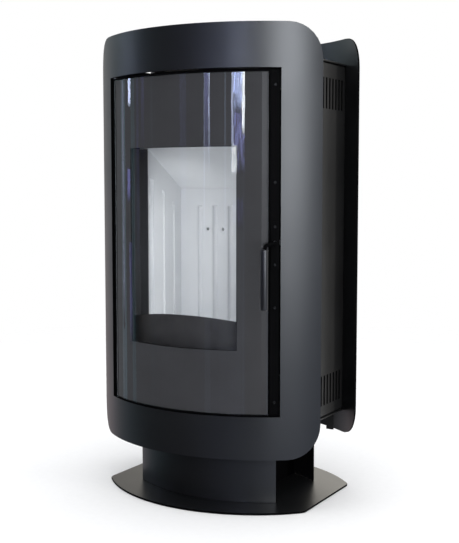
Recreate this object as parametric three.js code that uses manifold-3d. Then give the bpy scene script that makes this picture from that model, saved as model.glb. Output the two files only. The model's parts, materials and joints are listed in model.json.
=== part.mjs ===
// A wood burning stove on a pedestal, in millimetres. +Z is up, +Y is to the back, and the origin is on the
// floor under its centre. Two bowed sheets, one in front and one behind, wrap a slotted steel body. The front
// sheet is cut out for a bowed glass door, and the firebox behind it is lined with pale fire boards.
import * as THREE from "three";
import { mergeVertices } from "three/addons/utils/BufferGeometryUtils.js";
import Module from "manifold-3d";

const wasm = await Module();
wasm.setup();

// Driving dimensions of the bowed front and back sheets.
const BOW_RADIUS = 413; // outer face of the front sheet
const BOW_APEX = 245; // how far that face stands in front of the stove's centre
const BOW_CENTRE = BOW_RADIUS - BOW_APEX; // Y of the arc's centre, behind the front sheet
const BOW_HALF = 48.76; // half the sheet's sweep, degrees
const BOW_STEP = 3; // facet of a bowed sheet, degrees
const PANEL = { thickness: 4, bottom: 130, top: 1130, corner: 80, cornerSteps: 8 };
const PANEL_INNER = BOW_RADIUS - PANEL.thickness;
const DOORWAY = { half: 35.2, bottom: 231.5, top: 1028 };
const GAP = 0.3; // between pieces that touch

// Body casing between the two sheets.
const BODY = { halfWidth: 250, back: 147.7, bottom: 187, top: 1065.5, plate: 3, sheet: 2, flangeEnd: 35.6 };
const FLANGE_RADIUS = PANEL_INNER - 0.7; // the side panels' flanges hug the inner face of the bowed sheets
const LID_HALF_WIDTH = 252;
const SHADOW_GAP = 4; // between the side panels and the lid or the bottom plate
const SLOT = { pitch: 18, perSide: 8, width: 7.5, height: 74, low: 220.5, high: 950 };

// Pedestal.
const BASE = { radius: 382, apex: 250, halfWidth: 281.5, thickness: 5, corner: 11, step: 4 };
const PEDESTAL = { radius: 341, apex: 167, half: 34.9, sheet: 3, top: 181.7 };
const COLUMN = { halfWidth: 120, halfDepth: 141.4, sheet: 3 };
const PEDESTAL_CAP = { bottom: 182, top: 186.7, halfWidth: 165, hole: 66 };
const DUCT = { radius: 50, wall: 1.5, low: 128, floorHole: 57 };

// Firebox shell and its linings.
const SHELL = { halfWidth: 204.5, wall: 4, front: -160.5, back: 80, floor: 314, roof: 985 };
const FRAME = { inner: 388, outer: 392, half: 31.8, bottom: 296, top: 989 };
const FRAME_OPENING = { half: 24.5, bottom: 318, top: 872 };
const HEARTH = { bottom: 377, top: 381, liningTop: 405 };
const LINING = { inner: 175, thickness: 25, front: -99.5, back: 51 };
// The baffle's underside rises by slope for each mm forwards.
const BAFFLE = { backZ: 756.6, slope: 0.6525, thickness: 29.8, front: -112, back: 76 };
const GRATE = { halfWidth: 88, front: -108, back: -2, thickness: 12, ledge: 10, bars: 9, slot: 9 };
// The guard's top edge falls by drop for each degree squared from the middle.
const GUARD = { inner: 378, outer: 381, half: 26.8, bottom: 381.3, crest: 458.5, drop: 0.0245 };
const FLUE = { radius: 75, wall: 2.5, top: 1110, facets: 32 };

// Door. Its axis stands just inside the doorway's left edge.
const DOOR = { inner: 402, outer: 405, half: 35, bottom: 233.5, top: 1025.5 };
const DOOR_WINDOW = { half: 22.5, bottom: 370, top: 868 };
const GLASS = { inner: 409, half: 31.3, bottom: 236.5, top: 1019 };
const STRIP = { inner: 405.3, outer: 408.3, from: 31.9, to: 34.9, bottom: 236.5, top: 1022.5 };
const HINGE = { angle: -34.1, radius: 404, pin: 2.5, hole: 2.6, lug: 4.5 };
const ROPE = { inner: 392.3, outer: 401.7, half: 28.6, bottom: 303, top: 890, thickness: 9.5 };
const HANDLE = { angle: 33.4, z: 634, spindle: 4.5, spindleHole: 4.8 };
const GRIP = { fromBowCentre: 447, toTheLeft: 27, radius: 8.7, top: 621, bottom: 484 };
const STRIP_SCREWS = [990, 771, 485, 265];
const LOCK = { bottom: 573, top: 682, inner: 408.6, outer: 410.8, screws: [670.5, 583.7] };

// Ash pan and air slide.
const ASH_PAN = { halfWidth: 115, front: -150, back: 40, bottom: 318.4, top: 368, wall: 2, rim: 8 };
const AIR_BOX = { halfWidth: 95, halfDepth: 72, top: 262, wall: 2 };
const AIR_SLIDE = { bottom: 190.6, top: 192.6, halfWidth: 62, front: 52, back: 143, armFront: 133 };
const LEVER = { x: 224, y: 138, thickness: 3, stemHalf: 3, travel: 96 };
const PADDLE = { half: 10, top: 181, bottom: 137 };

const group = new THREE.Group();

// ---------- materials

const paint = (color, roughness = 0.45, metalness = 0.35) =>
  new THREE.MeshStandardMaterial({ color, roughness, metalness });
const PANEL_PAINT = paint(0x35383d, 0.42, 0.4);
const BODY_PAINT = paint(0x2a2a29, 0.6, 0.2);
const INNER_STEEL = paint(0x1b1b1c, 0.7, 0.2);
const BLACK_TRIM = paint(0x0b0b0d, 0.5, 0.3);
const MATT_BLACK = paint(0x070708, 0.75, 0.1);
const CERAMIC = paint(0xd9dbd8, 0.85, 0);
const CAST_IRON = paint(0x26262a, 0.8, 0.4);
const ROPE_GREY = paint(0x3a3a3c, 0.95, 0);
const ZINC = paint(0x9a9ca0, 0.35, 0.9);
const CLEAR_GLASS = paint(0x9aa0a8, 0.05, 0);
CLEAR_GLASS.transparent = true;
CLEAR_GLASS.opacity = 0.35;

// ---------- geometry helpers

const radians = THREE.MathUtils.degToRad;

// A closed geometry as a manifold-3d solid.
function solidOf(geometry) {
  const bare = new THREE.BufferGeometry();
  bare.setAttribute("position", geometry.getAttribute("position").clone());
  bare.setIndex(geometry.getIndex());
  const merged = mergeVertices(bare, 1e-4);
  return new wasm.Manifold(
    new wasm.Mesh({
      numProp: 3,
      vertProperties: merged.getAttribute("position").array,
      triVerts: new Uint32Array(merged.getIndex().array),
    }),
  );
}

function geometryOf(solid) {
  const mesh = solid.getMesh();
  const geometry = new THREE.BufferGeometry();
  geometry.setAttribute("position", new THREE.BufferAttribute(mesh.vertProperties, 3));
  geometry.setIndex(new THREE.BufferAttribute(mesh.triVerts, 1));
  const facets = geometry.toNonIndexed();
  facets.computeVertexNormals();
  return facets;
}

function cut(geometry, ...tools) {
  return geometryOf(tools.reduce((left, tool) => left.subtract(solidOf(tool)), solidOf(geometry)));
}

function join(geometry, ...others) {
  return geometryOf(others.reduce((sum, other) => sum.add(solidOf(other)), solidOf(geometry)));
}

// A box between two corners.
function block(x0, x1, y0, y1, z0, z1) {
  const box = new THREE.BoxGeometry(x1 - x0, y1 - y0, z1 - z0);
  return box.translate((x0 + x1) / 2, (y0 + y1) / 2, (z0 + z1) / 2);
}

// A plan outline raised from bottom to top.
function raised(points, bottom, top) {
  const shape = new THREE.Shape(points);
  return new THREE.ExtrudeGeometry(shape, { depth: top - bottom, bevelEnabled: false }).translate(0, 0, bottom);
}

function upright(radius, x, y, bottom, top, facets = 24) {
  const cylinder = new THREE.CylinderGeometry(radius, radius, top - bottom, facets);
  return cylinder.rotateX(Math.PI / 2).translate(x, y, (bottom + top) / 2);
}

// A tube standing on its end.
function pipe(outer, inner, bottom, top, facets) {
  return cut(upright(outer, 0, 0, bottom, top, facets), upright(inner, 0, 0, bottom - 1, top + 1, facets));
}

// The point of the front bow at a radius and an angle from the stove's centre line, degrees, in plan.
function onBow(radius, angle, centre = BOW_CENTRE) {
  return new THREE.Vector2(radius * Math.sin(radians(angle)), centre - radius * Math.cos(radians(angle)));
}

function bowPoints(radius, from, to, centre = BOW_CENTRE, step = BOW_STEP) {
  const steps = Math.max(1, Math.round(Math.abs(to - from) / step));
  return Array.from({ length: steps + 1 }, (_, i) => onBow(radius, from + ((to - from) * i) / steps, centre));
}

// A stretch of bowed sheet between two radii and two angles.
function bowed(inner, outer, from, to, bottom, top, centre = BOW_CENTRE) {
  return raised([...bowPoints(outer, from, to, centre), ...bowPoints(inner, to, from, centre)], bottom, top);
}

// A flat outline of (distance along the bow, z), wrapped round it as a cutter that goes right through a sheet.
const CUTTER_DEPTH = 12;
function wrappedCutter(points, radius) {
  const shape = new THREE.Shape(points);
  const flat = new THREE.ExtrudeGeometry(shape, { depth: 2 * CUTTER_DEPTH, bevelEnabled: false });
  const position = flat.getAttribute("position");
  for (let i = 0; i < position.count; i += 1) {
    const angle = THREE.MathUtils.radToDeg(position.getX(i) / radius);
    const spot = onBow(radius - CUTTER_DEPTH + position.getZ(i), angle);
    position.setXYZ(i, spot.x, spot.y, position.getY(i));
  }
  return flat;
}

// What a large round corner takes off a bowed sheet. side is -1 left or 1 right, end is -1 bottom or 1 top.
function cornerCutter(side, end) {
  const edge = radians(BOW_HALF) * BOW_RADIUS;
  const spare = 10;
  const level = end > 0 ? PANEL.top : PANEL.bottom;
  const centreS = edge - PANEL.corner;
  const centreZ = level - end * PANEL.corner;
  const round = Array.from({ length: PANEL.cornerSteps + 1 }, (_, i) => {
    const turn = (Math.PI / 2) * (i / PANEL.cornerSteps);
    return new THREE.Vector2(
      side * (centreS + PANEL.corner * Math.sin(turn)),
      centreZ + end * PANEL.corner * Math.cos(turn),
    );
  });
  return wrappedCutter(
    [
      ...round,
      new THREE.Vector2(side * (edge + spare), centreZ),
      new THREE.Vector2(side * (edge + spare), level + end * spare),
      new THREE.Vector2(side * centreS, level + end * spare),
    ],
    BOW_RADIUS,
  );
}

// A plate whose front edge follows the bow and whose sides and back are straight.
function bowFrontPlate(halfWidth, radius, back, bottom, top) {
  const half = THREE.MathUtils.radToDeg(Math.asin(halfWidth / radius));
  const front = bowPoints(radius, -half, half);
  return raised([...front, new THREE.Vector2(halfWidth, back), new THREE.Vector2(-halfWidth, back)], bottom, top);
}

// A plate bowed at the front and the back alike, with straight sides.
function barrelPlate(halfWidth, radius, bottom, top, centre = BOW_CENTRE) {
  const half = THREE.MathUtils.radToDeg(Math.asin(halfWidth / radius));
  const front = bowPoints(radius, -half, half, centre);
  const back = front.map((p) => new THREE.Vector2(-p.x, -p.y));
  return raised([...front, ...back], bottom, top);
}

// A profile in the Y-Z plane, as [y, z] pairs, pulled along X.
function pulledAlongX(profile, x0, x1) {
  const shape = new THREE.Shape(profile.map(([y, z]) => new THREE.Vector2(y, z)));
  const solid = new THREE.ExtrudeGeometry(shape, { depth: x1 - x0, bevelEnabled: false });
  const turn = new THREE.Matrix4().makeBasis(
    new THREE.Vector3(0, 1, 0),
    new THREE.Vector3(0, 0, 1),
    new THREE.Vector3(1, 0, 0),
  );
  return solid.applyMatrix4(turn).translate(x0, 0, 0);
}

// Turns and lifts a piece to its place on the bow. It is drawn with +Y out of the door, +X to the left and its
// origin on the bow's centre.
function atBowAngle(geometry, angle, z) {
  return geometry.rotateZ(Math.PI + radians(angle)).translate(0, BOW_CENTRE, z);
}

// A round piece whose axis points out of the door at an angle and height, between two radii.
function boss(radius, from, to, angle, z, facets = 16) {
  const cylinder = new THREE.CylinderGeometry(radius, radius, to - from, facets);
  return atBowAngle(cylinder.translate(0, (from + to) / 2, 0), angle, z);
}

function add(name, geometry, material, turned = false) {
  const mesh = new THREE.Mesh(geometry, material);
  mesh.name = name;
  if (turned) mesh.rotation.z = Math.PI;
  group.add(mesh);
}

// Adds a left and a right copy of a piece drawn on the right.
function addPair(name, geometry, material) {
  add(`${name}_right`, geometry, material);
  const mirrored = geometry.index ? geometry.toNonIndexed() : geometry.clone();
  const position = mirrored.getAttribute("position");
  for (let i = 0; i < position.count; i += 3) {
    const corners = [0, 2, 1].map((k) => new THREE.Vector3().fromBufferAttribute(position, i + k));
    corners.forEach((p, k) => position.setXYZ(i + k, -p.x, p.y, p.z));
  }
  mirrored.computeVertexNormals();
  add(`${name}_left`, mirrored, material);
}

// ---------- pedestal

function basePlate() {
  const centre = BASE.radius - BASE.apex;
  const half = THREE.MathUtils.radToDeg(Math.asin(BASE.halfWidth / BASE.radius));
  const trim = THREE.MathUtils.radToDeg(BASE.corner / BASE.radius);
  const front = bowPoints(BASE.radius, -half + trim, half - trim, centre, BASE.step);
  const corner = onBow(BASE.radius, half, centre);
  const side = new THREE.Vector2(corner.x, corner.y + BASE.corner);
  const round = new THREE.QuadraticBezierCurve(front[front.length - 1], corner, side).getPoints(5).slice(1);
  const leftRound = round.map((p) => new THREE.Vector2(-p.x, p.y)).reverse();
  const frontHalf = [...leftRound, ...front, ...round];
  const outline = [...frontHalf, ...frontHalf.map((p) => new THREE.Vector2(-p.x, -p.y))];
  return cut(raised(outline, 0, BASE.thickness), upright(DUCT.floorHole, 0, 0, -1, BASE.thickness + 1));
}

const pedestalCentre = PEDESTAL.radius - PEDESTAL.apex;
const pedestalBottom = BASE.thickness + GAP;
const pedestalSheet = bowed(
  PEDESTAL.radius - PEDESTAL.sheet,
  PEDESTAL.radius,
  -PEDESTAL.half,
  PEDESTAL.half,
  pedestalBottom,
  PEDESTAL.top,
  pedestalCentre,
);
add("base_plate", basePlate(), PANEL_PAINT);
add("pedestal_front_sheet", pedestalSheet, PANEL_PAINT);
add("pedestal_rear_sheet", pedestalSheet, PANEL_PAINT, true);

function pedestalColumn() {
  const { halfWidth: w, halfDepth: d, sheet } = COLUMN;
  const inside = block(-w + sheet, w - sheet, -d + sheet, d - sheet, 0, PEDESTAL.top + 1);
  return cut(block(-w, w, -d, d, pedestalBottom, PEDESTAL.top), inside);
}
add("pedestal_column", pedestalColumn(), MATT_BLACK);

const capRadius = PEDESTAL.radius - PEDESTAL.sheet - 0.5;
add(
  "pedestal_cap",
  cut(
    barrelPlate(PEDESTAL_CAP.halfWidth, capRadius, PEDESTAL_CAP.bottom, PEDESTAL_CAP.top, pedestalCentre),
    upright(PEDESTAL_CAP.hole, 0, 0, PEDESTAL_CAP.bottom - 1, PEDESTAL_CAP.top + 1),
  ),
  BODY_PAINT,
);

// ---------- body casing

const plateRadius = PANEL_INNER - 1;
const slotCentres = Array.from({ length: SLOT.perSide }, (_, i) => SLOT.pitch * (i + 0.5));

function bodyBottomPlate() {
  const plate = barrelPlate(LID_HALF_WIDTH, plateRadius, BODY.bottom, BODY.bottom + BODY.plate);
  const leverSlot = block(
    LEVER.x - LEVER.stemHalf - 1.5,
    LEVER.x + LEVER.stemHalf + 1.5,
    LEVER.y - LEVER.travel - 5,
    LEVER.y + 5,
    BODY.bottom - 1,
    BODY.bottom + BODY.plate + 1,
  );
  const ductHole = upright(DUCT.radius, 0, 0, BODY.bottom - 1, BODY.bottom + BODY.plate + 1, FLUE.facets);
  return cut(plate, ductHole, leverSlot);
}

// The lid lets the flue out in the middle and warm air out through a row of slots on each side of it.
function bodyLid() {
  const low = BODY.top - BODY.plate;
  const vents = [-1, 1].flatMap((side) =>
    Array.from({ length: 6 }, (_, i) => {
      const x = side * (112 + 18 * i);
      return block(x - 4, x + 4, -60, 60, low - 1, BODY.top + 1);
    }),
  );
  const hole = upright(FLUE.radius + 3, 0, 0, low - 1, BODY.top + 1, FLUE.facets);
  return cut(barrelPlate(LID_HALF_WIDTH, plateRadius, low, BODY.top), hole, ...vents);
}

// A side panel: a sheet with a flange turned in at the front and the back, and a row of vent slots at each end.
function sidePanel() {
  const { halfWidth: x, sheet, flangeEnd } = BODY;
  const low = BODY.bottom + BODY.plate + SHADOW_GAP;
  const high = BODY.top - BODY.plate - SHADOW_GAP;
  const bowAt = (radius, px) => new THREE.Vector2(px, BOW_CENTRE - Math.sqrt(radius * radius - px * px));
  const front = [
    bowAt(FLANGE_RADIUS - sheet, x - sheet),
    onBow(FLANGE_RADIUS - sheet, flangeEnd),
    onBow(FLANGE_RADIUS, flangeEnd),
    bowAt(FLANGE_RADIUS, x),
  ];
  const channel = [...front, ...front.map((p) => new THREE.Vector2(p.x, -p.y)).reverse()];
  const slotAt = (sy, z) => block(x - 10, x + 10, sy - SLOT.width / 2, sy + SLOT.width / 2, z, z + SLOT.height);
  const slots = [SLOT.low, SLOT.high].flatMap((z) =>
    slotCentres.flatMap((sy) => [slotAt(-sy, z), slotAt(sy, z)]),
  );
  return cut(raised(channel, low, high), ...slots);
}

add("body_bottom_plate", bodyBottomPlate(), BODY_PAINT);
add("body_lid", bodyLid(), BODY_PAINT);
addPair("side_panel", sidePanel(), BODY_PAINT);
const bodyInner = BODY.halfWidth - BODY.sheet - GAP;
add(
  "body_back_panel",
  block(
    -bodyInner,
    bodyInner,
    BODY.back - BODY.sheet,
    BODY.back,
    BODY.bottom + BODY.plate + GAP,
    BODY.top - BODY.plate - GAP,
  ),
  BODY_PAINT,
);

const corners = [-1, 1].flatMap((side) => [-1, 1].map((end) => [side, end]));
const bowedSheet = () =>
  cut(
    bowed(PANEL_INNER, BOW_RADIUS, -BOW_HALF, BOW_HALF, PANEL.bottom, PANEL.top),
    ...corners.map(([side, end]) => cornerCutter(side, end)),
  );
const doorway = bowed(
  BOW_RADIUS - 20,
  BOW_RADIUS + 10,
  -DOORWAY.half,
  DOORWAY.half,
  DOORWAY.bottom,
  DOORWAY.top,
);
add("front_panel", cut(bowedSheet(), doorway), PANEL_PAINT);
add("rear_panel", bowedSheet(), PANEL_PAINT, true);

// ---------- firebox shell

const shellInner = SHELL.halfWidth - SHELL.wall;
const shellFloorTop = SHELL.floor + SHELL.wall;
addPair(
  "firebox_side_wall",
  block(shellInner, SHELL.halfWidth, SHELL.front, SHELL.back, shellFloorTop + GAP, SHELL.roof - GAP),
  INNER_STEEL,
);
add(
  "firebox_back_wall",
  block(
    -shellInner + GAP,
    shellInner - GAP,
    SHELL.back - SHELL.wall,
    SHELL.back,
    shellFloorTop + GAP,
    SHELL.roof - GAP,
  ),
  INNER_STEEL,
);
const shellRadius = FRAME.inner - GAP;
add(
  "firebox_floor",
  bowFrontPlate(SHELL.halfWidth - 1, shellRadius, SHELL.back, SHELL.floor, shellFloorTop),
  INNER_STEEL,
);
add(
  "firebox_roof",
  cut(
    bowFrontPlate(SHELL.halfWidth - 1, shellRadius, SHELL.back, SHELL.roof, SHELL.roof + SHELL.wall),
    upright(FLUE.radius - FLUE.wall, 0, 0, SHELL.roof - 1, SHELL.roof + 10, FLUE.facets),
  ),
  INNER_STEEL,
);
add(
  "firebox_front_frame",
  cut(
    bowed(FRAME.inner, FRAME.outer, -FRAME.half, FRAME.half, FRAME.bottom, FRAME.top),
    bowed(
      FRAME.inner - 9,
      FRAME.outer + 9,
      -FRAME_OPENING.half,
      FRAME_OPENING.half,
      FRAME_OPENING.bottom,
      FRAME_OPENING.top,
    ),
  ),
  INNER_STEEL,
);
add(
  "flue_collar",
  pipe(FLUE.radius, FLUE.radius - FLUE.wall, SHELL.roof + SHELL.wall + GAP, FLUE.top, FLUE.facets),
  INNER_STEEL,
);

// A folded channel that carries the firebox on each side.
function fireboxSupport() {
  const low = BODY.bottom + BODY.plate + GAP;
  const high = SHELL.floor - GAP;
  const sheet = 3;
  const front = -140;
  const back = 24;
  return pulledAlongX(
    [
      [front, low],
      [back, low],
      [back, high],
      [front, high],
      [front, high - sheet],
      [back - sheet, high - sheet],
      [back - sheet, low + sheet],
      [front, low + sheet],
    ],
    150,
    190,
  );
}
addPair("firebox_support", fireboxSupport(), INNER_STEEL);

// ---------- linings

// Height of the baffle's underside at a depth y.
const baffleZ = (y) => BAFFLE.backZ - BAFFLE.slope * (y - LINING.back);

function sideLining() {
  const low = HEARTH.top + GAP;
  const inner = LINING.inner;
  const back = LINING.back - GAP;
  const board = pulledAlongX(
    [
      [LINING.front, low],
      [back, low],
      [back, baffleZ(back) - GAP],
      [LINING.front, baffleZ(LINING.front) - GAP],
    ],
    inner,
    inner + LINING.thickness,
  );
  const flutes = [[-85, 18], [-32, 11], [15, 11]].map(([y, width]) =>
    block(inner - 5, inner + 4, y - width / 2, y + width / 2, low + 30, baffleZ(y) - 62),
  );
  return cut(board, ...flutes);
}

function backLining() {
  const low = HEARTH.top + GAP;
  const front = LINING.back;
  const back = front + LINING.thickness - GAP;
  const half = LINING.inner + LINING.thickness - 0.5;
  const board = pulledAlongX(
    [[front, low], [back, low], [back, baffleZ(back) - GAP], [front, baffleZ(front) - GAP]],
    -half,
    half,
  );
  const flutes = [-115, -69, -23, 23, 69, 115].map((x) =>
    block(x - 6, x + 6, front - 5, front + 4, low + 30, 712),
  );
  const airHoles = [-92, -46, 0, 46, 92].map((x) =>
    new THREE.CylinderGeometry(3.5, 3.5, 60, 10).translate(x, (front + back) / 2, 650),
  );
  return cut(board, ...flutes, ...airHoles);
}

addPair("side_lining", sideLining(), CERAMIC);
add("back_lining", backLining(), CERAMIC);

const grateWell = block(-GRATE.halfWidth - 1, GRATE.halfWidth + 1, GRATE.front - 1, GRATE.back + 1, 300, 500);
add(
  "floor_lining",
  cut(bowFrontPlate(LINING.inner - 1, 366, LINING.back - 1, HEARTH.top + GAP, HEARTH.liningTop), grateWell),
  CERAMIC,
);
add(
  "hearth_plate",
  cut(
    bowFrontPlate(shellInner - GAP, shellRadius, SHELL.back - SHELL.wall - GAP, HEARTH.bottom, HEARTH.top),
    block(
      -GRATE.halfWidth + GRATE.ledge,
      GRATE.halfWidth - GRATE.ledge,
      GRATE.front + GRATE.ledge,
      GRATE.back - GRATE.ledge,
      300,
      500,
    ),
  ),
  INNER_STEEL,
);

function grate() {
  const low = HEARTH.top + GAP;
  const usable = 2 * (GRATE.halfWidth - GRATE.ledge);
  const pitch = usable / GRATE.bars;
  const slots = Array.from({ length: GRATE.bars }, (_, i) => {
    const x = -usable / 2 + pitch * (i + 0.5);
    return block(x - GRATE.slot / 2, x + GRATE.slot / 2, GRATE.front + 14, GRATE.back - 14, low - 1, low + 30);
  });
  const plate = block(-GRATE.halfWidth, GRATE.halfWidth, GRATE.front, GRATE.back, low, low + GRATE.thickness);
  return cut(plate, ...slots);
}
add("grate", grate(), CAST_IRON);

add(
  "lower_baffle",
  pulledAlongX(
    [
      [BAFFLE.front, baffleZ(BAFFLE.front)],
      [BAFFLE.back, baffleZ(BAFFLE.back)],
      [BAFFLE.back, baffleZ(BAFFLE.back) + BAFFLE.thickness],
      [BAFFLE.front, baffleZ(BAFFLE.front) + BAFFLE.thickness],
    ],
    -shellInner + 0.7,
    shellInner - 0.7,
  ),
  CERAMIC,
);
add("upper_baffle", block(-shellInner + GAP, shellInner - GAP, -155, 22, 930, 933), INNER_STEEL);

// A steel angle that covers each side lining's front edge and stands on the hearth.
const retainer = [[174, -102.5], [200, -102.5], [200, -130], [198, -130], [198, -104.5], [174, -104.5]];
addPair(
  "lining_retainer",
  raised(retainer.map(([x, y]) => new THREE.Vector2(x, y)), HEARTH.top + GAP, 855.5),
  INNER_STEEL,
);

// A bowed plate with an arched top edge: each column of four corners is joined to the next.
function logGuard() {
  const { inner, outer, half, bottom, crest, drop } = GUARD;
  const columns = 16;
  const positions = [];
  const triangles = [];
  for (let i = 0; i <= columns; i += 1) {
    const angle = -half + (2 * half * i) / columns;
    const top = crest - drop * angle * angle;
    const front = onBow(outer, angle);
    const back = onBow(inner, angle);
    positions.push(front.x, front.y, bottom, front.x, front.y, top);
    positions.push(back.x, back.y, top, back.x, back.y, bottom);
  }
  for (let i = 0; i < columns; i += 1) {
    for (let k = 0; k < 4; k += 1) {
      const here = 4 * i + k;
      const next = 4 * i + ((k + 1) % 4);
      triangles.push(here, here + 4, next + 4, here, next + 4, next);
    }
  }
  const last = 4 * columns;
  triangles.push(0, 1, 2, 0, 2, 3, last, last + 2, last + 1, last, last + 3, last + 2);
  const geometry = new THREE.BufferGeometry();
  geometry.setAttribute("position", new THREE.Float32BufferAttribute(positions, 3));
  geometry.setIndex(triangles);
  return geometryOf(solidOf(geometry));
}
add("log_guard", logGuard(), CAST_IRON);

// ---------- air supply

add(
  "air_inlet_spigot",
  pipe(DUCT.radius - GAP, DUCT.radius - DUCT.wall - GAP, DUCT.low, BODY.bottom + 1, FLUE.facets),
  ZINC,
);

// The box that the air rises into. The slide runs through a low gap in its front and back walls.
function airBox() {
  const { halfWidth: w, halfDepth: d, top, wall } = AIR_BOX;
  const low = BODY.bottom + BODY.plate + GAP;
  const inside = block(-w + wall, w - wall, -d + wall, d - wall, low - 1, top - wall);
  const slideGap = block(-w + 20, w - 20, -d - 1, d + 1, low - 1, AIR_SLIDE.top + 1);
  const armGap = block(60, w + 1, 0, d + 1, low - 1, AIR_SLIDE.top + 1);
  const outlet = block(-40, 40, -20, 20, top - 10, top + 1);
  return cut(block(-w, w, -d, d, low, top), inside, slideGap, armGap, outlet);
}
add("air_box", airBox(), ZINC);

// The slide's blade, its arm, and the lever that hangs through the bottom plate.
function airSlide() {
  const { bottom, top, halfWidth, front, back, armFront } = AIR_SLIDE;
  const { x, y, thickness, stemHalf } = LEVER;
  const near = y - thickness / 2;
  const far = y + thickness / 2;
  return join(
    block(-halfWidth, halfWidth, front, back, bottom, top),
    block(halfWidth - 1, x + stemHalf, armFront, back, bottom, top),
    block(x - stemHalf, x + stemHalf, near, far, PADDLE.top - 1, top),
    block(x - PADDLE.half, x + PADDLE.half, near, far, PADDLE.bottom, PADDLE.top),
  );
}
add("air_slide", airSlide(), PANEL_PAINT);

function ashPan() {
  const { halfWidth: w, front, back, bottom, top, wall, rim } = ASH_PAN;
  const inside = block(-w + wall, w - wall, front + wall, back - wall, bottom + wall, top + 1);
  const pull = block(-30, 30, front - rim, front + wall, top - 3, top);
  return cut(join(block(-w, w, front, back, bottom, top), pull), inside);
}
add("ash_pan", ashPan(), INNER_STEEL);

// ---------- door

function doorFrame() {
  const sheet = bowed(DOOR.inner, DOOR.outer, -DOOR.half, DOOR.half, DOOR.bottom, DOOR.top);
  const flangeHeight = 2.5;
  const flanges = [DOOR.bottom, DOOR.top - flangeHeight].map((z) =>
    bowed(DOOR.inner - 13, DOOR.outer + 3.3, -DOOR.half, 31, z, z + flangeHeight),
  );
  const rails = [
    [DOOR.bottom, GLASS.bottom - GAP],
    [GLASS.top + GAP, GLASS.top + 3.2],
  ].map(([low, high]) => bowed(DOOR.outer - 1, BOW_RADIUS - 1, -31, 31, low, high));
  const window = bowed(
    DOOR.inner - 9,
    DOOR.outer + 9,
    -DOOR_WINDOW.half,
    DOOR_WINDOW.half,
    DOOR_WINDOW.bottom,
    DOOR_WINDOW.top,
  );
  const axis = onBow(HINGE.radius, HINGE.angle);
  const pinHoles = [
    [DOOR.bottom - 1, STRIP.bottom],
    [STRIP.top, DOOR.top + 1],
  ].map(([low, high]) => upright(HINGE.pin + GAP, axis.x, axis.y, low, high, 16));
  const spindleHole = boss(HANDLE.spindleHole, DOOR.inner - 5, DOOR.outer + 5, HANDLE.angle, HANDLE.z);
  return cut(join(sheet, ...flanges, ...rails), window, ...pinHoles, spindleHole);
}

// A ring of constant width round the firebox opening or the window.
function bowedRing(inner, outer, half, bottom, top, width) {
  const holeHalf = half - THREE.MathUtils.radToDeg(width / outer);
  return cut(
    bowed(inner, outer, -half, half, bottom, top),
    bowed(inner - 9, outer + 9, -holeHalf, holeHalf, bottom + width, top - width),
  );
}

add("door_frame", doorFrame(), MATT_BLACK);
const pane = bowed(GLASS.inner, BOW_RADIUS, -GLASS.half, GLASS.half, GLASS.bottom, GLASS.top);
add("door_glass", pane, CLEAR_GLASS);
add("glass_seal", bowedRing(405.3, 408.7, 25, 356, 881, 16), ROPE_GREY);
const rope = bowedRing(ROPE.inner, ROPE.outer, ROPE.half, ROPE.bottom, ROPE.top, ROPE.thickness);
add("door_rope_seal", rope, ROPE_GREY);

const spindleClearance = boss(HANDLE.spindleHole, 395, 430, HANDLE.angle, HANDLE.z);
add(
  "door_strip_right",
  cut(bowed(STRIP.inner, STRIP.outer, STRIP.from, STRIP.to, STRIP.bottom, STRIP.top), spindleClearance),
  MATT_BLACK,
);
const leftStrip = bowed(STRIP.inner, STRIP.outer, -STRIP.to, -STRIP.from, STRIP.bottom, STRIP.top);
add("door_strip_left", leftStrip, MATT_BLACK);
add(
  "lock_plate",
  cut(bowed(LOCK.inner, LOCK.outer, STRIP.from + 0.2, STRIP.to - 0.2, LOCK.bottom, LOCK.top), spindleClearance),
  MATT_BLACK,
);
const screwAngle = (STRIP.from + STRIP.to) / 2;
STRIP_SCREWS.forEach((z, i) => {
  add(`strip_screw_${i + 1}`, boss(3.4, STRIP.outer + GAP, STRIP.outer + 2.2, screwAngle, z), MATT_BLACK);
});
LOCK.screws.forEach((z, i) => {
  add(`lock_screw_${i + 1}`, boss(3.2, LOCK.outer + GAP, LOCK.outer + 2, screwAngle, z), MATT_BLACK);
});

// A fixed bracket and a pin on the door at the bottom and the top of the door's axis.
function hingeBracket(bottom, top) {
  const axis = onBow(HINGE.radius, HINGE.angle);
  const arm = block(-bodyInner, -218, -152, -142, bottom, top);
  const neck = block(axis.x - 3.5, axis.x + 3.5, axis.y, -142, bottom, top);
  const eye = upright(HINGE.lug, axis.x, axis.y, bottom, top);
  return cut(join(arm, neck, eye), upright(HINGE.hole, axis.x, axis.y, bottom - 1, top + 1));
}
const hingeAxis = onBow(HINGE.radius, HINGE.angle);
add("hinge_bracket_lower", hingeBracket(224.5, 229.5), INNER_STEEL);
add("hinge_bracket_upper", hingeBracket(1029.5, 1034.5), INNER_STEEL);
add("hinge_pin_lower", upright(HINGE.pin, hingeAxis.x, hingeAxis.y, 223, DOOR.bottom + 2.5), ZINC);
add("hinge_pin_upper", upright(HINGE.pin, hingeAxis.x, hingeAxis.y, DOOR.top - 2.5, 1036), ZINC);

// ---------- handle and latch

add("handle_spindle", boss(HANDLE.spindle, 384, 424, HANDLE.angle, HANDLE.z), ZINC);

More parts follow.
